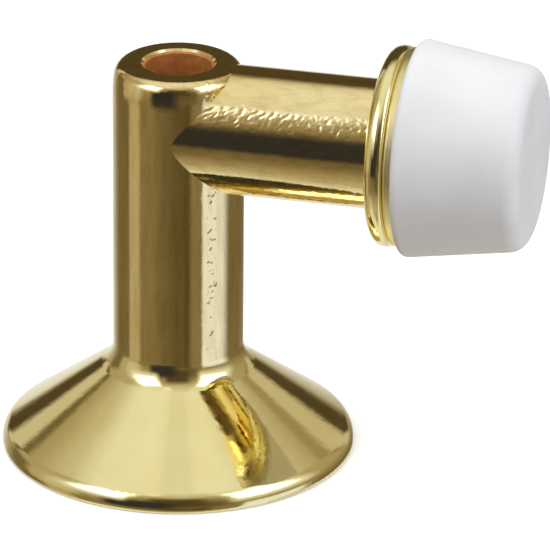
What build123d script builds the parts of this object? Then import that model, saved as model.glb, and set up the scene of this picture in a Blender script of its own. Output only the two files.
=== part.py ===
from build123d import *
import math
import os

# Floor-mounted door stop: a conical foot, a drilled post, a round arm and a rubber bumper.
# Millimetres, +Z up. The origin is on the floor, on the axis of the post. The arm points along +X,
# and the door meets the flat end of the bumper.

# ---- Driving dimensions ----------------------------------------------------------------------

# Foot: a turned cone with a low rim, a short neck of the post's own diameter and a relieved underside.
foot_radius = 44.45 / 2
rim_height = 1.80
cone_top = 11.95
neck_top = 13.95
neck_fillet = 3.60
rim_top_fillet = 2.20
rim_bottom_fillet = 0.55
relief_depth = 1.00
relief_inner_radius = 9.50
relief_outer_radius = 18.00

# Post: a round bar, drilled right through for the mounting screw. Buffing has eased its upper end inwards
# along a long arc, and a short arc then rounds the edge.
post_radius = 8.20
post_height = 51.25
post_easing_radius = 14.50
post_easing_angle = 9.5
post_edge_radius = 1.55
post_tenon_radius = 6.00
post_tenon_flare = 0.80

# Bore: wide enough for the screw's head and a driver down to the seat, and narrow below it.
driver_bore_radius = 4.15
mouth_chamfer = 0.50
seat_rim_height = 7.50
shank_hole_radius = 2.30
countersink_angle = 82.0

# Arm: a round bar coped to the post, its top level with the top of the post.
arm_radius = 8.10
arm_axis_height = 43.10
arm_end = 26.20
arm_tenon_radius = 3.50
arm_tenon_start = 5.40
arm_tenon_play = 0.04
register_radius = 4.50
register_length = 1.50
tapped_hole_radius = 2.15
tapped_hole_bottom = 16.30
drill_point_length = 1.20

# Collar: a loose bead ring, clamped between the arm and the bumper's plate.
collar_radius = 12.50
collar_length = 2.50
collar_back_fillet = 1.40
collar_front_fillet = 0.85
collar_play = 0.05

# Backing plate: the metal disc that the rubber is moulded to.
plate_radius = 12.35
plate_thickness = 1.10
plate_edge_fillet = 0.35

# Bumper: a tapered rubber plug.
bumper_heel_radius = 13.60
bumper_end_radius = 11.30
bumper_end = 45.05
bumper_heel_fillet = 0.75
bumper_end_fillet = 2.20

# Bumper stud: a number 8-32 thread, a neck riveted in the plate and a head buried in the rubber.
stud_crest_radius = 4.166 / 2
stud_root_radius = 1.63
stud_pitch = 25.4 / 32
stud_tip = 17.80
stud_tip_chamfer = 0.45
stud_neck_radius = 2.50
stud_neck_length = 2.20
stud_head_radius = 6.50
stud_head_thickness = 1.80
stud_head_fillet = 0.60

# Mounting screw: a number 8 flat-head wood screw, 1 1/2 inches long, with a cross recess.
screw_length = 38.10
screw_head_radius = 4.00
screw_head_edge = 0.25
screw_crest_radius = 4.166 / 2
screw_root_radius = 1.45
screw_pitch = 25.4 / 15
screw_point_length = 5.00
screw_thread_end = 24.00
screw_thread_runout = 0.60
screw_rest_gap = 0.10
recess_span = 4.60
recess_width = 1.00
recess_depth = 1.90
recess_taper = 14.0

# ---- Derived places --------------------------------------------------------------------------

easing_turn = math.radians(post_easing_angle)
post_edge_start = post_height - post_edge_radius * (1 - math.sin(easing_turn))
post_easing_start = post_edge_start - post_easing_radius * math.sin(easing_turn)
post_edge_center = (
    post_radius - post_easing_radius + (post_easing_radius - post_edge_radius) * math.cos(easing_turn)
)
collar_front = arm_end + collar_length
plate_front = collar_front + plate_thickness
stud_head_back = plate_front + stud_neck_length
stud_head_front = stud_head_back + stud_head_thickness
countersink_slope = math.tan(math.radians(countersink_angle / 2))
seat_floor_height = seat_rim_height - (driver_bore_radius - shank_hole_radius) / countersink_slope

# The side view of the arm: local x runs out along the arm from the post's axis, and local y is up.
arm_side = Plane(origin=(0, 0, arm_axis_height), x_dir=(1, 0, 0), z_dir=(0, -1, 0))
arm_axis = Axis((0, 0, arm_axis_height), (1, 0, 0))

# The side view of the mounting screw: local x runs out from its axis, and local y is up from its point.
screw_side = Plane(origin=(0, 0, screw_rest_gap), x_dir=(1, 0, 0), z_dir=(0, -1, 0))


def corner_at(outline, x, y):
    """The corner of a flat outline nearest to (x, y) in the outline's own plane."""
    return outline.vertices().sort_by_distance(Vector(x, y, 0))[0]


def thread_ridge(center, direction, root_radius, crest_radius, pitch, length):
    """One helical ridge of V section, its foot sunk a little into a core of root_radius."""
    path = Helix(pitch=pitch, height=length, radius=root_radius, center=center, direction=direction)
    outward = (path @ 0) - Vector(*center)
    ridge_height = crest_radius - root_radius
    sunk = 0.25 * ridge_height
    half_foot = 0.36 * pitch
    half_crest = 0.05 * pitch
    with BuildPart() as ridge:
        with BuildSketch(Plane(origin=path @ 0, x_dir=outward, z_dir=path % 0)):
            with BuildLine():
                Polyline(
                    (-sunk, -half_foot),
                    (ridge_height, -half_crest),
                    (ridge_height, half_crest),
                    (-sunk, half_foot),
                    close=True,
                )
            make_face()
        sweep(path=path, is_frenet=True)
    return ridge.part


# ---- Foot ------------------------------------------------------------------------------------
# The tenon hole is flared at the floor, where the post's tenon is peened over to hold the foot on.

with BuildPart() as foot:
    with BuildSketch(Plane.XZ) as foot_outline:
        with BuildLine():
            Polyline(
                (post_tenon_radius + post_tenon_flare, 0),
                (relief_inner_radius, 0),
                (relief_inner_radius, relief_depth),
                (relief_outer_radius, relief_depth),
                (relief_outer_radius, 0),
                (foot_radius, 0),
                (foot_radius, rim_height),
                (post_radius, cone_top),
                (post_radius, neck_top),
                (post_tenon_radius, neck_top),
                (post_tenon_radius, post_tenon_flare),
                close=True,
            )
        make_face()
        fillet(corner_at(foot_outline, foot_radius, 0), rim_bottom_fillet)
        fillet(corner_at(foot_outline, foot_radius, rim_height), rim_top_fillet)
        fillet(corner_at(foot_outline, post_radius, cone_top), neck_fillet)
    revolve(axis=Axis.Z)

# ---- Post ------------------------------------------------------------------------------------
# The solid blank is kept apart, because the end of the arm is coped to its outer surface.

with BuildPart() as post_blank:
    with BuildSketch(Plane.XZ):
        with BuildLine():
            Polyline(
                (0, post_height),
                (0, 0),
                (post_tenon_radius + post_tenon_flare, 0),
                (post_tenon_radius, post_tenon_flare),
                (post_tenon_radius, neck_top),
                (post_radius, neck_top),
                (post_radius, post_easing_start),
            )
            CenterArc(
                (post_radius - post_easing_radius, post_easing_start),
                post_easing_radius,
                0,
                post_easing_angle,
            )
            CenterArc(
                (post_edge_center, post_height - post_edge_radius),
                post_edge_radius,
                post_easing_angle,
                90 - post_easing_angle,
            )
            Line((post_edge_center, post_height), (0, post_height))
        make_face()
    revolve(axis=Axis.Z)

with BuildPart() as post:
    add(post_blank.part)
    with BuildSketch(Plane.XZ):
        with BuildLine():
            Polyline(
                (0, 0),
                (shank_hole_radius, 0),
                (shank_hole_radius, seat_floor_height),
                (driver_bore_radius, seat_rim_height),
                (driver_bore_radius, post_height - mouth_chamfer),
                (driver_bore_radius + mouth_chamfer, post_height),
                (0, post_height),
                close=True,
            )
        make_face()
    revolve(axis=Axis.Z, mode=Mode.SUBTRACT)
    # blind socket for the arm's tenon, stopping short of the bore
    with BuildSketch(Plane.YZ.offset(arm_tenon_start)):
        with Locations((0, arm_axis_height)):
            Circle(arm_tenon_radius)
    extrude(amount=post_radius, mode=Mode.SUBTRACT)

# ---- Arm -------------------------------------------------------------------------------------
# A short register on the outer end centres the collar, and the stud's hole is drilled through it.

with BuildPart() as arm:
    with BuildSketch(arm_side):
        with BuildLine():
            Polyline(
                (0, 0),
                (0, arm_radius),
                (arm_end, arm_radius),
                (arm_end, register_radius),
                (arm_end + register_length, register_radius),
                (arm_end + register_length, 0),
                close=True,
            )
        make_face()
    revolve(axis=arm_axis)
    add(post_blank.part, mode=Mode.SUBTRACT)
    with BuildSketch(Plane.YZ.offset(arm_tenon_start)):
        with Locations((0, arm_axis_height)):
            Circle(arm_tenon_radius - arm_tenon_play)
    extrude(amount=post_radius)
    with BuildSketch(arm_side):
        with BuildLine():
            Polyline(
                (tapped_hole_bottom - drill_point_length, 0),
                (tapped_hole_bottom, tapped_hole_radius),
                (arm_end + register_length, tapped_hole_radius),
                (arm_end + register_length, 0),
                close=True,
            )
        make_face()
    revolve(axis=arm_axis, mode=Mode.SUBTRACT)

# ---- Collar ----------------------------------------------------------------------------------

with BuildPart() as collar:
    with BuildSketch(arm_side) as collar_outline:
        with BuildLine():
            Polyline(
                (arm_end, register_radius + collar_play),
                (arm_end, collar_radius),
                (collar_front, collar_radius),
                (collar_front, register_radius + collar_play),
                close=True,
            )
        make_face()
        fillet(corner_at(collar_outline, arm_end, collar_radius), collar_back_fillet)
        fillet(corner_at(collar_outline, collar_front, collar_radius), collar_front_fillet)
    revolve(axis=arm_axis)

# ---- Backing plate ---------------------------------------------------------------------------

with BuildPart() as backing_plate:
    with BuildSketch(arm_side) as plate_outline:
        with BuildLine():
            Polyline(
                (collar_front, stud_neck_radius),
                (collar_front, plate_radius),
                (plate_front, plate_radius),
                (plate_front, stud_neck_radius),
                close=True,
            )
        make_face()
        fillet(corner_at(plate_outline, collar_front, plate_radius), plate_edge_fillet)
    revolve(axis=arm_axis)

# ---- Bumper stud -----------------------------------------------------------------------------

stud_thread = thread_ridge(
    center=(stud_tip + stud_pitch, 0, arm_axis_height),
    direction=(1, 0, 0),
    root_radius=stud_root_radius,
    crest_radius=stud_crest_radius,
    pitch=stud_pitch,
    length=collar_front - stud_tip - 3 * stud_pitch,
)

with BuildPart() as bumper_stud:
    with BuildSketch(arm_side) as stud_outline:
        with BuildLine():
            Polyline(
                (stud_tip, 0),
                (stud_tip, stud_root_radius - stud_tip_chamfer),
                (stud_tip + stud_tip_chamfer, stud_root_radius),
                (collar_front, stud_root_radius),
                (collar_front, stud_neck_radius),
                (stud_head_back, stud_neck_radius),
                (stud_head_back, stud_head_radius),
                (stud_head_front, stud_head_radius),
                (stud_head_front, 0),
                close=True,
            )
        make_face()
        fillet(corner_at(stud_outline, stud_head_back, stud_head_radius), stud_head_fillet)
        fillet(corner_at(stud_outline, stud_head_front, stud_head_radius), stud_head_fillet)
    revolve(axis=arm_axis)
    add(stud_thread)

# ---- Bumper ----------------------------------------------------------------------------------
# The cavity is the shape of the stud's neck and head, which the rubber is moulded round.

with BuildPart() as bumper:
    with BuildSketch(arm_side) as bumper_outline:
        with BuildLine():
            Polyline(
                (plate_front, 0),
                (plate_front, bumper_heel_radius),
                (bumper_end, bumper_end_radius),
                (bumper_end, 0),
                close=True,
            )
        make_face()
        fillet(corner_at(bumper_outline, plate_front, bumper_heel_radius), bumper_heel_fillet)
        fillet(corner_at(bumper_outline, bumper_end, bumper_end_radius), bumper_end_fillet)
    revolve(axis=arm_axis)
    add(bumper_stud.part, mode=Mode.SUBTRACT)

# ---- Mounting screw --------------------------------------------------------------------------
# It stands loose in the bore, its point just above the floor and its head well below the mouth.

screw_thread = thread_ridge(
    center=(0, 0, screw_rest_gap + screw_point_length),
    direction=(0, 0, 1),
    root_radius=screw_root_radius,
    crest_radius=screw_crest_radius,
    pitch=screw_pitch,
    length=screw_thread_end - screw_point_length,
)
head_height = (screw_head_radius - screw_crest_radius) / countersink_slope + screw_head_edge

with BuildPart() as mounting_screw:
    with BuildSketch(screw_side):
        with BuildLine():
            Polyline(
                (0, 0),
                (screw_root_radius, screw_point_length),
                (screw_root_radius, screw_thread_end + screw_pitch),
                (screw_crest_radius, screw_thread_end + screw_pitch + screw_thread_runout),
                (screw_crest_radius, screw_length - head_height),
                (screw_head_radius, screw_length - screw_head_edge),
                (screw_head_radius, screw_length),
                (0, screw_length),
                close=True,
            )
        make_face()
    revolve(axis=Axis.Z)
    add(screw_thread)
    with BuildSketch(Plane.XY.offset(screw_rest_gap + screw_length)):
        Rectangle(recess_span, recess_width)
        Rectangle(recess_width, recess_span)
        Circle(recess_width)
    extrude(amount=-recess_depth, taper=recess_taper, mode=Mode.SUBTRACT)

# ---- Labels and files ------------------------------------------------------------------------

os.makedirs("parts", exist_ok=True)

foot.part.label = "foot"
post.part.label = "post"
arm.part.label = "arm"
collar.part.label = "collar"
backing_plate.part.label = "backing_plate"
bumper_stud.part.label = "bumper_stud"
bumper.part.label = "bumper"
mounting_screw.part.label = "mounting_screw"

export_step(foot.part, "parts/foot.step")
export_step(post.part, "parts/post.step")
export_step(arm.part, "parts/arm.step")
export_step(collar.part, "parts/collar.step")
export_step(backing_plate.part, "parts/backing_plate.step")
export_step(bumper_stud.part, "parts/bumper_stud.step")
export_step(bumper.part, "parts/bumper.step")
export_step(mounting_screw.part, "parts/mounting_screw.step")
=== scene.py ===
import math

import bpy
from mathutils import Matrix, Vector, noise


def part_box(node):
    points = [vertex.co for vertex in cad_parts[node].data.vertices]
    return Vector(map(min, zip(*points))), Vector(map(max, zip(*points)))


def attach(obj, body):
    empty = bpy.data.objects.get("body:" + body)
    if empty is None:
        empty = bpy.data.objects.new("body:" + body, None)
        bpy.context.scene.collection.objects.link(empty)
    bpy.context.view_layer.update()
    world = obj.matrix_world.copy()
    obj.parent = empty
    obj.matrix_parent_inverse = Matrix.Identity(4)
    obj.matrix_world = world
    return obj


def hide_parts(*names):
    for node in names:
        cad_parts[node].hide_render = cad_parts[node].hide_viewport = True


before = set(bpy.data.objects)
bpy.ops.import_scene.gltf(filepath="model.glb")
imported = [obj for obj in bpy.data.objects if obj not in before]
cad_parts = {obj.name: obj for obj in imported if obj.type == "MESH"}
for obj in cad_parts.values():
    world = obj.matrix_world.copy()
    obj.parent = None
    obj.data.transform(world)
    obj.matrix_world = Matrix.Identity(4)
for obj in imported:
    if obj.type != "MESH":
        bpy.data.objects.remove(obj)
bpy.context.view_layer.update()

# Looks for a brass floor door stop with a white rubber bumper. Metres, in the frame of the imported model:
# the post stands on the origin, the arm points along +X, and the front is the -Y side.

MM = 0.001

# ---- Sizes read from the frame -----------------------------------------------------------------

foot_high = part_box("foot")[1]
post_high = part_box("post")[1]
arm_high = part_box("arm")[1]
collar_low, collar_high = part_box("collar")

post_radius = post_high.y
post_height = post_high.z
neck_top = foot_high.z
arm_radius = arm_high.y
arm_axis_height = (collar_low.z + collar_high.z) / 2
arm_end = collar_low.x
register_end = arm_high.x

UPWARD = Vector((0, 0, 1))
ALONG_ARM = Vector((1, 0, 0))
arm_axis_point = arm_axis_height * UPWARD

# ---- Sizes that the boxes don't give, the same as in the CAD source ----------------------------

post_tenon_radius = 6.00 * MM
post_tenon_flare = 0.80 * MM
post_easing_radius = 14.50 * MM
post_easing_angle = math.radians(9.5)
post_edge_radius = 1.55 * MM
driver_bore_radius = 4.15 * MM
mouth_chamfer = 0.50 * MM
seat_rim_height = 7.50 * MM
seat_floor_height = 5.26 * MM
shank_hole_radius = 2.30 * MM
arm_tenon_start = 5.40 * MM
arm_tenon_radius = 3.46 * MM
arm_socket_radius = 3.50 * MM
register_radius = 4.50 * MM
tapped_hole_radius = 2.15 * MM
tapped_hole_bottom = 16.30 * MM
drill_point_length = 1.20 * MM

post_edge_start = post_height - post_edge_radius * (1 - math.sin(post_easing_angle))
post_easing_start = post_edge_start - post_easing_radius * math.sin(post_easing_angle)
post_edge_center = (
    post_radius - post_easing_radius + (post_easing_radius - post_edge_radius) * math.cos(post_easing_angle)
)

# ---- Meshes of the post and the arm -------------------------------------------------------------

POST_STEP = 0.12 * MM
ARM_STEP = 0.11 * MM
ARM_FACE_STEP = 5 * ARM_STEP
SOCKET_SIDES = 64
COPE_OVERLAP = 0.03 * MM
SAME_POINT = 1e-7
NO_RADIUS = 1e-9
SHARP_ANGLE = math.radians(32)

# ---- Skin left by casting and buffing ----------------------------------------------------------
# Each wave has a size and a depth. A share says how much of that depth a surface has. Bearings and slopes
# are in degrees: a bearing on the post from the front towards the arm, and a slope on the arm from the front
# up over its top.

CAST_WAVES = ((0.60 * MM, 0.012 * MM), (0.32 * MM, 0.010 * MM))
PIT_SIZE = 0.56 * MM
PIT_DEPTH = 0.19 * MM
PIT_LEVEL = 0.15
# the post: all round, at its upper end, along its pitted seam and round the foot of the arm
POST_SHARE = 0.14
POST_END_SHARE = 0.38
POST_END_START = -1.5 * MM
POST_END_FADE = 3.0 * MM
POST_SKIN_RADIUS = 5.6 * MM
POST_RADIUS_FADE = 1.2 * MM
POST_NECK_FADE = 2.0 * MM
SEAM_BEARING = 45.5
SEAM_SPREAD = 7.0
WELD_SHARE = 0.35
WELD_REACH = 2.6 * MM
# the arm: all round, along its pitted upper front and along its underside
ARM_SHARE = 0.16
ARM_FRONT_SHARE = 0.70
ARM_PITTED_SHARE = 0.25
PITTED_SLOPE = 35.0
PITTED_SPREAD = 15.0
ARM_UNDER_SHARE = 0.80
UNDER_SLOPE = -70.0
UNDER_SPREAD = 55.0
SKIN_MARGIN = 0.02 * MM
COPE_MARGIN = 0.01 * MM

# ---- View: the camera's bearing, its distance from the aim point and its field of view ----------

VIEW_AIM = Vector((11.74, 2.94, 22.72)) * MM
VIEW_AZIMUTH = math.radians(14.06)
VIEW_ELEVATION = math.radians(23.52)
VIEW_ROLL = math.radians(0.49)
VIEW_DISTANCE = 700.0 * MM
VIEW_ANGLE = math.radians(5.637)


# ---- Small helpers ------------------------------------------------------------------------------


def add_node(tree, kind, inputs=None, **settings):
    """One shader node. inputs maps a socket's name or number to a value or to another node's output."""
    made = tree.nodes.new(kind)
    for key, value in settings.items():
        setattr(made, key, value)
    for key, value in (inputs or {}).items():
        if isinstance(value, bpy.types.NodeSocket):
            tree.links.new(value, made.inputs[key])
        else:
            made.inputs[key].default_value = value
    return made


def maths(tree, operation, first, second=0.0, third=0.0):
    """The result of one Math node."""
    return add_node(tree, "ShaderNodeMath", {0: first, 1: second, 2: third}, operation=operation).outputs[0]


def vector_maths(tree, operation, first, second):
    """The result of one Vector Math node on two vectors."""
    made = add_node(tree, "ShaderNodeVectorMath", {0: first, 1: second}, operation=operation)
    return made.outputs["Vector"]


def length_of(tree, vector):
    """The length of a vector."""
    return add_node(tree, "ShaderNodeVectorMath", {0: vector}, operation="LENGTH").outputs["Value"]


def mix_colors(tree, factor, first, second):
    """first where factor is 0 and second where it is 1."""
    made = tree.nodes.new("ShaderNodeMix")
    made.data_type = "RGBA"
    for socket, value in ((0, factor), (6, first), (7, second)):
        if isinstance(value, bpy.types.NodeSocket):
            tree.links.new(value, made.inputs[socket])
        else:
            made.inputs[socket].default_value = value if socket == 0 else (*value, 1.0)
    return made.outputs[2]


def smooth_range(tree, value, low, high, to_low=0.0, to_high=1.0):
    """value, eased from to_low at low to to_high at high."""
    made = add_node(
        tree,
        "ShaderNodeMapRange",
        {"Value": value, "From Min": low, "From Max": high, "To Min": to_low, "To Max": to_high},
        interpolation_type="SMOOTHSTEP",
    )
    return made.outputs["Result"]


# ---- Outlines and turned shapes -----------------------------------------------------------------


def arc(center, radius, start, end, step):
    """Points along an arc between two angles no more than a step apart, both ends included."""
    count = max(2, math.ceil(abs(end - start) * radius / step))
    angles = [start + (end - start) * i / count for i in range(count + 1)]
    return [Vector((center[0] + radius * math.cos(a), center[1] + radius * math.sin(a))) for a in angles]


def line(start, end, step):
    """Points along a straight run no more than a step apart, both ends included."""
    start, end = Vector(start), Vector(end)
    count = max(1, math.ceil((end - start).length / step))
    return [start.lerp(end, i / count) for i in range(count + 1)]


def joined(*runs):
    """One list of points from several runs, without the points that two runs share."""
    points = []
    for point in (p for run in runs for p in run):
        if not points or (Vector(point) - points[-1]).length > SAME_POINT:
            points.append(Vector(point))
    return points


def turned_mesh(name, outline, count, axis_point, along, start):
    """A closed outline of (radius, distance along) points, turned about the axis through axis_point.
    A point with no radius becomes one vertex."""
    side = along.cross(start)
    mesh = bpy.data.meshes.new(name)
    vertices, faces, rings = [], [], []
    for point in outline:
        centre = axis_point + along * point[1]
        if point[0] < NO_RADIUS:
            rings.append([len(vertices)] * count)
            vertices.append(centre)
            continue
        rings.append(list(range(len(vertices), len(vertices) + count)))
        for i in range(count):
            angle = math.tau * i / count
            vertices.append(centre + (start * math.cos(angle) + side * math.sin(angle)) * point[0])
    for ring, next_ring in zip(rings, rings[1:] + rings[:1]):
        for i in range(count):
            j = (i + 1) % count
            corners = list(dict.fromkeys((ring[i], ring[j], next_ring[j], next_ring[i])))
            if len(corners) > 2:
                faces.append(corners)
    mesh.from_pydata(vertices, [], faces)
    mesh.validate()
    return mesh


def roughen(mesh, skin):
    """Moves vertices along their normals by waves and pits. skin gives a place its share of each."""
    moves = []
    for vertex in mesh.vertices:
        waved, pitted = skin(vertex.co)
        height = waved * sum(depth * noise.noise(vertex.co / size) for size, depth in CAST_WAVES)
        if pitted > 0:
            height -= pitted * PIT_DEPTH * max(0.0, noise.noise(vertex.co / PIT_SIZE) - PIT_LEVEL)
        moves.append(vertex.normal * height)
    for vertex, move in zip(mesh.vertices, moves):
        vertex.co += move


def add_object(name, data):
    """A new object in the scene."""
    made = bpy.data.objects.new(name, data)
    bpy.context.scene.collection.objects.link(made)
    return made


def place_piece(mesh, name, node, material):
    """Makes a piece of the stand from a mesh, in place of its CAD node."""
    mesh.polygons.foreach_set("use_smooth", [True] * len(mesh.polygons))
    mesh.set_sharp_from_angle(angle=SHARP_ANGLE)
    mesh.materials.append(material)
    piece = add_object(name, mesh)
    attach(piece, "stand")
    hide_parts(node)


def cut_away(mesh, tool_mesh):
    """mesh with the shape of tool_mesh cut out of it."""
    body = add_object("cut_body", mesh)
    tool = add_object("cut_tool", tool_mesh)
    cut = body.modifiers.new("cut", "BOOLEAN")
    cut.operation = "DIFFERENCE"
    cut.solver = "EXACT"
    cut.object = tool
    bpy.context.view_layer.update()
    evaluated = body.evaluated_get(bpy.context.evaluated_depsgraph_get())
    result = bpy.data.meshes.new_from_object(evaluated)
    for thing in (body, tool):
        bpy.data.objects.remove(thing)
    return result


# ---- The post and the arm, with their rippled skins --------------------------------------------


def post_radius_at(height):
    """The radius of the post's outside at a height, with its eased and rounded upper end."""
    if height <= post_easing_start:
        return post_radius
    if height <= post_edge_start:
        rise = height - post_easing_start
        return post_radius - post_easing_radius + math.sqrt(post_easing_radius**2 - rise**2)
    rise = min(height, post_height) - (post_height - post_edge_radius)
    return post_edge_center + math.sqrt(max(0.0, post_edge_radius**2 - rise**2))


def hump(value, middle, spread):
    """1 at the middle, easing to 0 at the spread on each side of it."""
    return max(0.0, 1.0 - ((value - middle) / spread) ** 2)


def post_skin(place):
    """The post's skin: faint waves, deeper at its upper end and at the arm, and a pitted line down it."""
    outside = (math.hypot(place.x, place.y) - POST_SKIN_RADIUS) / POST_RADIUS_FADE
    above = (place.z - neck_top) / POST_NECK_FADE
    kept = max(0.0, min(1.0, outside, above))
    past_start = (place.z - post_easing_start - POST_END_START) / POST_END_FADE
    end = POST_END_SHARE * max(0.0, min(1.0, past_start))
    past_arm = math.hypot(place.y, place.z - arm_axis_height) - arm_radius
    weld = WELD_SHARE * hump(past_arm, 0.0, WELD_REACH) if place.x > 0 else 0.0
    bearing = math.degrees(math.atan2(place.x, -place.y))
    return kept * max(POST_SHARE, end, weld), kept * hump(bearing, SEAM_BEARING, SEAM_SPREAD)


def build_post(material):
    """The post, with its bore and its tenon, and a socket for the arm's tenon cut in its side."""
    easing_center = (post_radius - post_easing_radius, post_easing_start)
    edge_center = (post_edge_center, post_height - post_edge_radius)
    outside = joined(
        line((post_radius, neck_top), (post_radius, post_easing_start), POST_STEP),
        arc(easing_center, post_easing_radius, 0.0, post_easing_angle, POST_STEP),
        arc(edge_center, post_edge_radius, post_easing_angle, math.pi / 2, POST_STEP),
    )
    inside = [
        (driver_bore_radius + mouth_chamfer, post_height),
        (driver_bore_radius, post_height - mouth_chamfer),
        (driver_bore_radius, seat_rim_height),
        (shank_hole_radius, seat_floor_height),
        (shank_hole_radius, 0.0),
        (post_tenon_radius + post_tenon_flare, 0.0),
        (post_tenon_radius, post_tenon_flare),
        (post_tenon_radius, neck_top),
    ]
    count = round(math.tau * post_radius / POST_STEP)
    mesh = turned_mesh("post_body", joined(outside, inside), count, Vector(), UPWARD, ALONG_ARM)
    roughen(mesh, post_skin)
    socket_outline = [
        (0.0, arm_tenon_start),
        (arm_socket_radius, arm_tenon_start),
        (arm_socket_radius, 2 * post_radius),
        (0.0, 2 * post_radius),
    ]
    socket = turned_mesh("socket", socket_outline, SOCKET_SIDES, arm_axis_point, ALONG_ARM, UPWARD)
    place_piece(cut_away(mesh, socket), "post_body", "post", material)


def cope(mesh):
    """Bends the inner end of the arm to the round of the post, and eases that out along the arm."""
    seat = post_radius - COPE_OVERLAP
    for vertex in mesh.vertices:
        radius = math.hypot(vertex.co.y, vertex.co.z - arm_axis_height)
        past_tenon = radius > arm_tenon_radius - COPE_MARGIN
        if past_tenon and seat - COPE_MARGIN < vertex.co.x < arm_end:
            weight = (arm_end - vertex.co.x) / (arm_end - seat)
            local = post_radius_at(vertex.co.z) - COPE_OVERLAP
            vertex.co.x += weight * (math.sqrt(local**2 - vertex.co.y**2) - seat)


def arm_skin(place):
    """The arm's skin: pitted along its upper front, waved along its underside, nearly smooth elsewhere."""
    height = place.z - arm_axis_height
    if math.hypot(place.y, height) < arm_radius - SKIN_MARGIN:
        return 0.0, 0.0
    slope = math.degrees(math.atan2(height, -place.y))
    pitted = hump(slope, PITTED_SLOPE, PITTED_SPREAD)
    under = ARM_UNDER_SHARE * hump(slope, UNDER_SLOPE, UNDER_SPREAD)
    return max(ARM_SHARE, ARM_FRONT_SHARE * pitted, under), ARM_PITTED_SHARE * pitted


def build_arm(material):
    """The arm, with its tenon, its coped inner end, its register and its tapped hole."""
    seat = post_radius - COPE_OVERLAP
    outline = joined(
        [(0.0, arm_tenon_start), (arm_tenon_radius, arm_tenon_start)],
        line((arm_tenon_radius, seat), (arm_radius, seat), ARM_FACE_STEP),
        line((arm_radius, seat), (arm_radius, arm_end), ARM_STEP),
        [
            (register_radius, arm_end),
            (register_radius, register_end),
            (tapped_hole_radius, register_end),
            (tapped_hole_radius, tapped_hole_bottom),
            (0.0, tapped_hole_bottom - drill_point_length),
        ],
    )
    count = round(math.tau * arm_radius / ARM_STEP)
    mesh = turned_mesh("arm_body", outline, count, arm_axis_point, ALONG_ARM, UPWARD)
    roughen(mesh, arm_skin)
    cope(mesh)
    place_piece(mesh, "arm_body", "arm", material)


# ---- Materials ----------------------------------------------------------------------------------
# The two shades of each material, the lowest and highest roughness of each finish, the size of each detail,
# with its depth where it has one, and the scale that draws the tarnish out along each axis.

TURNED_SHADES = ((0.90, 0.80, 0.405), (0.85, 0.735, 0.33))
BUFFED_SHADES = ((0.91, 0.775, 0.405), (0.87, 0.71, 0.33))
COPPER_SHADES = ((0.50, 0.20, 0.050), (0.38, 0.14, 0.032))
RUBBER_SHADES = ((0.68, 0.68, 0.68), (0.64, 0.64, 0.645))
ZINC_SHADES = ((0.66, 0.67, 0.69), (0.52, 0.54, 0.58))
BRASS_PLATE_SHADES = ((0.83, 0.70, 0.40), (0.70, 0.56, 0.29))
TARNISH = (0.62, 0.47, 0.19)
TARNISH_SHARE = 0.45
TARNISH_ON_POST = (1.0, 1.0, 0.15)
TARNISH_ON_ARM = (0.4, 1.0, 1.0)

POLISHED = (0.05, 0.12)
SATIN = (0.38, 0.50)
PLATED = (0.16, 0.38)
RUBBER_ROUGHNESS = (0.42, 0.54)
RUBBER_GLOSS = 0.45
RAW_ROUGHNESS = 0.5
RAW_METALLIC = 0.25
RAW_WIDTH = 0.22 * MM

BRASS_CLOUDS = 9 * MM
BRASS_WEAR = 1.6 * MM
TURNED_RINGS = (0.30 * MM, 0.0006 * MM)
TURNED_RIPPLES = (1.1 * MM, 0.010 * MM)
BUFFED_RIPPLES = (0.55 * MM, 0.0035 * MM)
BUFFED_STREAKS = (0.9 * MM, 0.004 * MM)
BORE_STREAKS = 1.1 * MM
RUBBER_CLOUDS = 6 * MM
RUBBER_WEAR = 0.8 * MM
RUBBER_GRAIN = (0.22 * MM, 0.006 * MM)
PLATING_SPOTS = 0.7 * MM
PLATING_GRAIN = (0.18 * MM, 0.003 * MM)


def new_material(name):
    """A fresh node material, its tree and its Principled shader."""
    material = bpy.data.materials.new(name)
    material.use_nodes = True
    tree = material.node_tree
    return material, tree, tree.nodes["Principled BSDF"]


def object_position(tree):
    """The place on the object itself."""
    return add_node(tree, "ShaderNodeTexCoord").outputs["Object"]


def noise_value(tree, position, size, detail=2.0, roughness=0.5):
    """Smooth noise from 0 to 1 whose features are about size metres."""
    made = add_node(
        tree,
        "ShaderNodeTexNoise",
        {"Vector": position, "Scale": 1.0 / size, "Detail": detail, "Roughness": roughness},
    )
    return made.outputs["Fac"]


def bump(tree, height, distance, normal=None):
    """A bump of that height, in metres."""
    inputs = {"Height": height, "Distance": distance, "Strength": 1.0}
    if normal is not None:
        inputs["Normal"] = normal
    return add_node(tree, "ShaderNodeBump", inputs).outputs["Normal"]


def brass_finish(tree, shader, position, shades, finish):
    """Clean brass: two close shades in soft clouds, and a finish that is a little uneven."""
    clouds = noise_value(tree, position, BRASS_CLOUDS, detail=3.0)
    shade = smooth_range(tree, clouds, 0.30, 0.75)
    color = mix_colors(tree, shade, *shades)
    tree.links.new(color, shader.inputs["Base Color"])
    shader.inputs["Metallic"].default_value = 1.0
    wear = noise_value(tree, position, BRASS_WEAR, detail=4.0, roughness=0.65)
    roughness = smooth_range(tree, wear, 0.35, 0.75, *finish)
    tree.links.new(roughness, shader.inputs["Roughness"])
    return color, roughness


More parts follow.
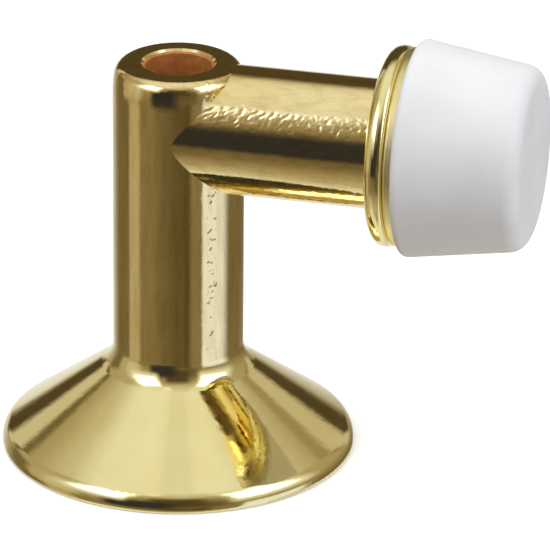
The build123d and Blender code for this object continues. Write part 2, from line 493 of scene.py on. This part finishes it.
def turned_brass(name, axis, axis_point, finish):
    """Brass turned on a lathe, with faint rings round its axis."""
    material, tree, shader = new_material(name)
    position = object_position(tree)
    brass_finish(tree, shader, position, TURNED_SHADES, finish)
    offset = vector_maths(tree, "SUBTRACT", position, axis_point)
    across = vector_maths(tree, "MULTIPLY", offset, [0.0 if part else 1.0 for part in axis])
    radius = length_of(tree, across)
    rings = add_node(
        tree,
        "ShaderNodeTexNoise",
        {"W": radius, "Scale": 1.0 / TURNED_RINGS[0], "Detail": 3.0, "Roughness": 0.6},
        noise_dimensions="1D",
    ).outputs["Fac"]
    normal = bump(tree, rings, TURNED_RINGS[1])
    ripples = noise_value(tree, position, TURNED_RIPPLES[0])
    tree.links.new(bump(tree, ripples, TURNED_RIPPLES[1], normal), shader.inputs["Normal"])
    return material


def buffed_brass(name, tarnish_scale):
    """Brass buffed over a cast skin, with tarnish drawn out one way, and a raw coppery bore."""
    material, tree, shader = new_material(name)
    position = object_position(tree)
    color, roughness = brass_finish(tree, shader, position, BUFFED_SHADES, POLISHED)
    drawn_out = vector_maths(tree, "MULTIPLY", position, tarnish_scale)
    rubbed = noise_value(tree, drawn_out, BUFFED_STREAKS[0], detail=3.0, roughness=0.6)
    color = mix_colors(tree, smooth_range(tree, rubbed, 0.40, 0.72, 0.0, TARNISH_SHARE), color, TARNISH)
    axes = add_node(tree, "ShaderNodeSeparateXYZ", {0: position}).outputs
    flat = add_node(tree, "ShaderNodeCombineXYZ", {0: axes["X"], 1: axes["Y"]}).outputs[0]
    raw = maths(tree, "LESS_THAN", length_of(tree, flat), driver_bore_radius + RAW_WIDTH)
    streaks = noise_value(tree, position, BORE_STREAKS, detail=4.0)
    copper = mix_colors(tree, smooth_range(tree, streaks, 0.3, 0.7), *COPPER_SHADES)
    tree.links.new(mix_colors(tree, raw, color, copper), shader.inputs["Base Color"])
    tree.links.new(smooth_range(tree, raw, 0.0, 1.0, 1.0, RAW_METALLIC), shader.inputs["Metallic"])
    rough_raw = maths(tree, "MAXIMUM", roughness, maths(tree, "MULTIPLY", raw, RAW_ROUGHNESS))
    tree.links.new(rough_raw, shader.inputs["Roughness"])
    normal = bump(tree, noise_value(tree, position, BUFFED_RIPPLES[0]), BUFFED_RIPPLES[1])
    tree.links.new(bump(tree, rubbed, BUFFED_STREAKS[1], normal), shader.inputs["Normal"])
    return material


def white_rubber():
    """Moulded white rubber: satin, very slightly mottled, with a fine matt grain."""
    material, tree, shader = new_material("white_rubber_skin")
    position = object_position(tree)
    clouds = noise_value(tree, position, RUBBER_CLOUDS, detail=4.0)
    color = mix_colors(tree, smooth_range(tree, clouds, 0.3, 0.75), *RUBBER_SHADES)
    tree.links.new(color, shader.inputs["Base Color"])
    wear = noise_value(tree, position, RUBBER_WEAR, detail=4.0)
    tree.links.new(smooth_range(tree, wear, 0.3, 0.7, *RUBBER_ROUGHNESS), shader.inputs["Roughness"])
    shader.inputs["Specular IOR Level"].default_value = RUBBER_GLOSS
    grain = noise_value(tree, position, RUBBER_GRAIN[0], detail=3.0)
    tree.links.new(bump(tree, grain, RUBBER_GRAIN[1]), shader.inputs["Normal"])
    return material


def plated_steel(name, shades):
    """Bright plated steel with a fine speckle and worn, rougher patches."""
    material, tree, shader = new_material(name)
    position = object_position(tree)
    spots = noise_value(tree, position, PLATING_SPOTS, detail=5.0, roughness=0.7)
    color = mix_colors(tree, smooth_range(tree, spots, 0.35, 0.7), *shades)
    tree.links.new(color, shader.inputs["Base Color"])
    shader.inputs["Metallic"].default_value = 1.0
    tree.links.new(smooth_range(tree, spots, 0.3, 0.75, *PLATED), shader.inputs["Roughness"])
    grain = noise_value(tree, position, PLATING_GRAIN[0], detail=3.0)
    tree.links.new(bump(tree, grain, PLATING_GRAIN[1]), shader.inputs["Normal"])
    return material


def dress_node(node, material):
    """Gives a CAD node its material."""
    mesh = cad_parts[node].data
    mesh.materials.clear()
    mesh.materials.append(material)


# ---- Studio -------------------------------------------------------------------------------------
# The metal mirrors a studio of soft-edged panels in a dark brown room. A direction is given by its azimuth,
# 0 towards the front and 90 towards the bumper, and its elevation, both in degrees. A level is the
# brightness of a part of the studio, and 1 is white paper. Matt surfaces get a plain daylight instead.

FRONT_LEVELS = (
    (-90, 1.00),
    (-68, 0.36),
    (-54, 0.43),
    (-42, 0.30),
    (-30, 0.17),
    (-22, 0.13),
    (4, 0.12),
    (18, 0.15),
    (30, 0.24),
    (45, 0.37),
    (56, 0.53),
    (66, 0.64),
    (76, 0.80),
    (90, 0.86),
)
SIDE_LEVELS = (
    (-90, 1.00),
    (-60, 0.85),
    (-46, 0.58),
    (-34, 0.28),
    (-22, 0.14),
    (-6, 0.26),
    (10, 0.36),
    (36, 0.38),
    (50, 0.60),
    (62, 0.86),
    (75, 0.93),
    (90, 0.86),
)
FRONT_AZIMUTHS = (-28, 50)
FRONT_EDGES = (20, 20)

# the level from which the studio is neutral, and how far its darkest parts go to red and away from blue
NEUTRAL_LEVEL = 0.8
WARM_RED = 0.35
WARM_BLUE = 0.56
NEAR_BLACK = (0.037, 0.035, 0.040)
WINDOW = (0.90, 0.98, 1.28)
SOFT_BOX = (2.2, 2.3, 3.1)
# what a second or later reflection adds, and the ray depth of the first one
REPEAT_GAIN = 0.20
FIRST_DEPTH = 2.0
# the daylight from straight below, from below, from above and from the bumper's side
NADIR_LIGHT = (0.80, 0.62, 0.38)
UNDER_LIGHT = (0.03, 0.03, 0.03)
SKY_LIGHT = (1.14, 1.14, 1.15)
BUMPER_SIDE_LIGHT = (1.38, 1.41, 1.47)
BUMPER_SIDE_SHARE = 0.8
BACKDROP = (0.93, 0.93, 0.93)

LAMP_SIZE = 0.5
LAMP_POWER = 1.5
LAMP_PLACE = Vector((-0.15, -0.20, 0.60))
FLOOR_REACH = 4.0
FLOOR_SHADE = (0.98, 0.98, 0.98, 1.0)


def tone(level):
    """The colour of a part of the studio: warm brown where it is dark, and neutral where it is bright."""
    warmth = max(0.0, 1.0 - level / NEUTRAL_LEVEL)
    return (level * (1 + WARM_RED * warmth), level, level * (1 - WARM_BLUE * warmth))


def levels_by_elevation(tree, elevation, levels):
    """A part of the room that has one level at each elevation."""
    ramp = add_node(tree, "ShaderNodeValToRGB", {0: maths(tree, "MULTIPLY_ADD", elevation, 1 / 180, 0.5)})
    stops = ramp.color_ramp.elements
    while len(stops) < len(levels):
        stops.new(0.5)
    for stop, (height, level) in zip(stops, levels):
        stop.position = height / 180 + 0.5
        stop.color = (*tone(level), 1.0)
    return ramp.outputs["Color"]


def between(tree, value, low, high, edges):
    """1 between low and high, and 0 outside them, with edges of the given widths."""
    rise = smooth_range(tree, value, low - edges[0] / 2, low + edges[0] / 2)
    fall = smooth_range(tree, value, high - edges[1] / 2, high + edges[1] / 2, 1.0, 0.0)
    return maths(tree, "MULTIPLY", rise, fall)


def azimuths_between(tree, azimuth, low, high, edges):
    """1 between two azimuths, the low one first, and 0 outside them."""
    middle = (low + high) / 2
    turned = maths(tree, "WRAP", maths(tree, "SUBTRACT", azimuth, middle), 180.0, -180.0)
    return between(tree, turned, low - middle, high - middle, edges)


def panel(tree, view, room, color, azimuths, elevations, sides=(4, 4), ends=(6, 6)):
    """Paints a panel over the room. sides are the widths of its left and right edges, and ends those of its
    lower and upper edges."""
    across = azimuths_between(tree, view[0], *azimuths, sides)
    upright = between(tree, view[1], *elevations, ends)
    return mix_colors(tree, maths(tree, "MULTIPLY", across, upright), room, color)


def mirrored_studio(tree):
    """What the metal mirrors."""
    direction = add_node(tree, "ShaderNodeTexCoord").outputs["Generated"]
    axes = add_node(tree, "ShaderNodeSeparateXYZ", {0: direction}).outputs
    front = maths(tree, "MULTIPLY", axes["Y"], -1.0)
    azimuth = maths(tree, "DEGREES", maths(tree, "ARCTAN2", axes["X"], front))
    elevation = maths(tree, "DEGREES", maths(tree, "ARCSINE", axes["Z"]))
    view = (azimuth, elevation)
    front_wall = levels_by_elevation(tree, elevation, FRONT_LEVELS)
    side_walls = levels_by_elevation(tree, elevation, SIDE_LEVELS)
    in_front = azimuths_between(tree, azimuth, *FRONT_AZIMUTHS, FRONT_EDGES)
    room = mix_colors(tree, in_front, side_walls, front_wall)
    # the left wall: a pale strip beside a dark one, then two thin stripes
    room = panel(tree, view, room, tone(0.43), (-81, -53), (-48, -17), sides=(8, 16), ends=(14, 4))
    room = panel(tree, view, room, tone(0.42), (-96, -56), (-17, 50), sides=(14, 14), ends=(4, 14))
    room = panel(tree, view, room, tone(0.55), (-80, -52), (-12, 34), sides=(10, 16), ends=(12, 12))
    room = panel(tree, view, room, tone(0.15), (-118, -96), (-34, 15), sides=(8, 10), ends=(8, 14))
    room = panel(tree, view, room, tone(0.14), (-123, -117), (14, 34))
    room = panel(tree, view, room, tone(0.60), (-134, -123), (6, 32))
    # the right wall: two pale strips at its far end
    room = panel(tree, view, room, tone(0.30), (143, 150), (8, 42), ends=(12, 12))
    room = panel(tree, view, room, tone(0.54), (150, 163), (-4, 36), ends=(14, 12))
    # the back: dark from the horizon up, with a broad white board low on the left
    room = panel(tree, view, room, tone(0.88), (-178, -134), (-64, 1), sides=(30, 50), ends=(20, 10))
    room = panel(tree, view, room, tone(0.88), (154, 200), (-47, -26), sides=(14, 14), ends=(8, 6))
    room = panel(tree, view, room, tone(0.065), (162.5, 227), (2, 48), sides=(4, 5), ends=(8, 16))
    # the front: dark strips in line with the camera, and a window low on the right
    room = panel(tree, view, room, tone(0.20), (-56, -22), (-34, -14), sides=(10, 30), ends=(10, 6))
    room = panel(tree, view, room, tone(0.10), (2, 30), (-34, -14), sides=(20, 5), ends=(10, 6))
    room = panel(tree, view, room, tone(0.07), (-6, 34), (-5, 44), sides=(10, 16), ends=(12, 24))
    room = panel(tree, view, room, NEAR_BLACK, (-33, 12), (-17, 21), sides=(12, 22), ends=(10, 20))
    room = panel(tree, view, room, tone(0.08), (25, 34), (-34, -12), sides=(5, 5))
    room = panel(tree, view, room, tone(0.21), (38, 60), (-34, -12), sides=(6, 6))
    room = panel(tree, view, room, WINDOW, (57.5, 106), (-62, -11), sides=(6, 22), ends=(16, 10))
    # a pale strip overhead, in line with the camera
    room = panel(tree, view, room, tone(0.97), (-28, -4), (60, 74), sides=(10, 10), ends=(8, 8))
    # the two soft boxes, high on each side of the camera, each in its own glow
    room = panel(tree, view, room, tone(0.85), (-70, -20), (12, 70), sides=(16, 8), ends=(22, 16))
    room = panel(tree, view, room, tone(0.80), (50, 112), (4, 68), sides=(10, 18), ends=(22, 20))
    room = panel(tree, view, room, SOFT_BOX, (-62, -24), (25, 55), sides=(16, 8), ends=(14, 14))
    room = panel(tree, view, room, SOFT_BOX, (55, 100), (19, 57), sides=(10, 16), ends=(14, 14))
    return room


def daylight_color(tree):
    """The daylight that matt surfaces get."""
    direction = add_node(tree, "ShaderNodeTexCoord").outputs["Generated"]
    axes = add_node(tree, "ShaderNodeSeparateXYZ", {0: direction}).outputs
    low = mix_colors(tree, smooth_range(tree, axes["Z"], -1.0, -0.45), NADIR_LIGHT, UNDER_LIGHT)
    high = mix_colors(tree, smooth_range(tree, axes["Z"], -0.40, 0.75), low, SKY_LIGHT)
    bumper_side = smooth_range(tree, axes["X"], 0.0, 1.0, 0.0, BUMPER_SIDE_SHARE)
    return mix_colors(tree, bumper_side, high, BUMPER_SIDE_LIGHT)


def light_studio():
    """The world: the mirrored studio for gloss, soft daylight for matt surfaces, and a pale backdrop."""
    world = bpy.data.worlds.new("studio")
    bpy.context.scene.world = world
    world.use_nodes = True
    world.cycles.sampling_method = "NONE"
    tree = world.node_tree
    tree.nodes.clear()
    room = mirrored_studio(tree)
    path = add_node(tree, "ShaderNodeLightPath").outputs
    repeats = maths(tree, "MAXIMUM", maths(tree, "SUBTRACT", path["Ray Depth"], FIRST_DEPTH), 0.0)
    gain = maths(tree, "MULTIPLY_ADD", repeats, REPEAT_GAIN, 1.0)
    scaled = add_node(tree, "ShaderNodeVectorMath", {0: room, "Scale": gain}, operation="SCALE")
    seen = mix_colors(tree, path["Is Diffuse Ray"], scaled.outputs["Vector"], daylight_color(tree))
    seen = mix_colors(tree, path["Is Camera Ray"], seen, BACKDROP)
    background = add_node(tree, "ShaderNodeBackground", {"Color": seen, "Strength": 1.0})
    output = add_node(tree, "ShaderNodeOutputWorld")
    tree.links.new(background.outputs[0], output.inputs["Surface"])


def key_light():
    """One large soft lamp overhead, a little to the left and in front."""
    lamp = bpy.data.lights.new("key", "AREA")
    lamp.shape = "DISK"
    lamp.size = LAMP_SIZE
    lamp.energy = LAMP_POWER
    key = add_object("key", lamp)
    key.location = LAMP_PLACE
    key.rotation_euler = (VIEW_AIM - LAMP_PLACE).to_track_quat("-Z", "Y").to_euler()
    key.visible_glossy = False


def lay_floor():
    """A plain pale floor, which the metal doesn't mirror."""
    mesh = bpy.data.meshes.new("floor")
    corners = [(FLOOR_REACH * x, FLOOR_REACH * y, 0) for x, y in ((-1, -1), (1, -1), (1, 1), (-1, 1))]
    mesh.from_pydata(corners, [], [(0, 1, 2, 3)])
    material, _, shader = new_material("pale_floor")
    shader.inputs["Base Color"].default_value = FLOOR_SHADE
    shader.inputs["Roughness"].default_value = 1.0
    shader.inputs["Specular IOR Level"].default_value = 0.0
    mesh.materials.append(material)
    floor = add_object("floor", mesh)
    floor.visible_glossy = False
    floor.visible_diffuse = False


def set_camera():
    """The camera, placed by its bearing about the aim point."""
    camera = bpy.data.cameras.new("view")
    camera.angle = VIEW_ANGLE
    camera.clip_start = 0.01
    eye = add_object("view", camera)
    right = Vector((math.cos(VIEW_AZIMUTH), math.sin(VIEW_AZIMUTH), 0))
    back = Vector((
        math.sin(VIEW_AZIMUTH) * math.cos(VIEW_ELEVATION),
        -math.cos(VIEW_AZIMUTH) * math.cos(VIEW_ELEVATION),
        math.sin(VIEW_ELEVATION),
    ))
    up = back.cross(right)
    axes = Matrix((right, up, back)).transposed() @ Matrix.Rotation(VIEW_ROLL, 3, "Z")
    eye.matrix_world = Matrix.Translation(VIEW_AIM + back * VIEW_DISTANCE) @ axes.to_4x4()
    bpy.context.scene.camera = eye


# ---- The whole scene ----------------------------------------------------------------------------

build_post(buffed_brass("buffed_brass_post", TARNISH_ON_POST))
build_arm(buffed_brass("buffed_brass_arm", TARNISH_ON_ARM))
dress_node("foot", turned_brass("turned_brass_foot", UPWARD, Vector(), POLISHED))
dress_node("collar", turned_brass("turned_brass_collar", ALONG_ARM, arm_axis_point, POLISHED))
dress_node("backing_plate", turned_brass("turned_brass_plate", ALONG_ARM, arm_axis_point, SATIN))
dress_node("bumper", white_rubber())
dress_node("bumper_stud", plated_steel("zinc_plate", ZINC_SHADES))
dress_node("mounting_screw", plated_steel("brass_plate", BRASS_PLATE_SHADES))

light_studio()
key_light()
lay_floor()
set_camera()
bpy.context.scene.view_settings.view_transform = "Standard"
